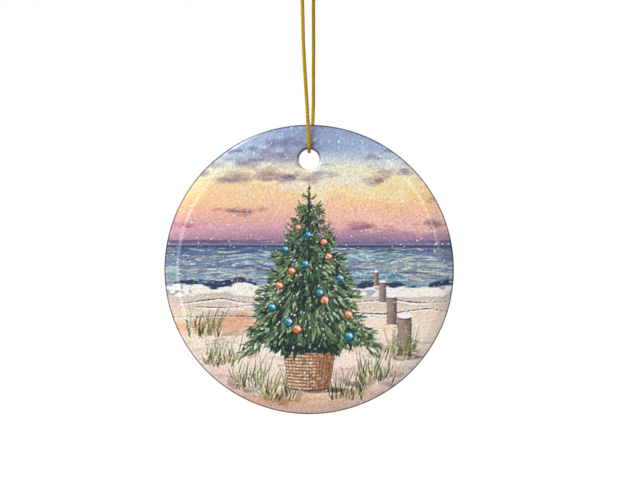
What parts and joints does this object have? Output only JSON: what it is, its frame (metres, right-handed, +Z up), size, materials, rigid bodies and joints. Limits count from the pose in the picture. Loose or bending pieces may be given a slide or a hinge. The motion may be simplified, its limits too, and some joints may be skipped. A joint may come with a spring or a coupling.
{
  "type": "souvenir christmas ornament",
  "caption": "Round flat ceramic tree ornament with a printed glossy front and a hanging hole, on a knotted loop of thin gold cord.",
  "frame": {"origin": "centre of the hook wire that the top of the cord loop goes over, just under the knot", "axes": "+Z up, the way the ornament hangs; the printed front faces -Y; +X to the right of someone who looks at the front"},
  "size_m": [0.07, 0.0058, 0.1435],
  "materials": {
    "glazed_ceramic": "gloss",
    "printed_glaze": "gloss",
    "gold_cord": "satin"
  },
  "bodies": {
    "crown": {"cord_knot": "gold_cord", "cord_tails": "gold_cord"},
    "upper_cord": {"cord_upper": "gold_cord"},
    "lower_cord": {"cord_lower": "gold_cord"},
    "disc": {"ceramic_body": "glazed_ceramic", "printed_coat": "printed_glaze"}
  },
  "joints": [
    {"name": "loop_tilt", "type": "hinge", "parent": "crown", "child": "upper_cord", "pos_m": [0, 0, 0.0036], "axis": [1, 0, 0], "range_deg": [-60, 60]},
    {"name": "loop_twist", "type": "hinge", "parent": "upper_cord", "child": "lower_cord", "pos_m": [0, 0, -0.022], "axis": [0, 0, 1], "range_deg": [-180, 180]},
    {"name": "disc_swing", "type": "hinge", "parent": "lower_cord", "child": "disc", "pos_m": [0, 0, -0.0644], "axis": [0, 1, 0], "range_deg": [-60, 60]}
  ]
}
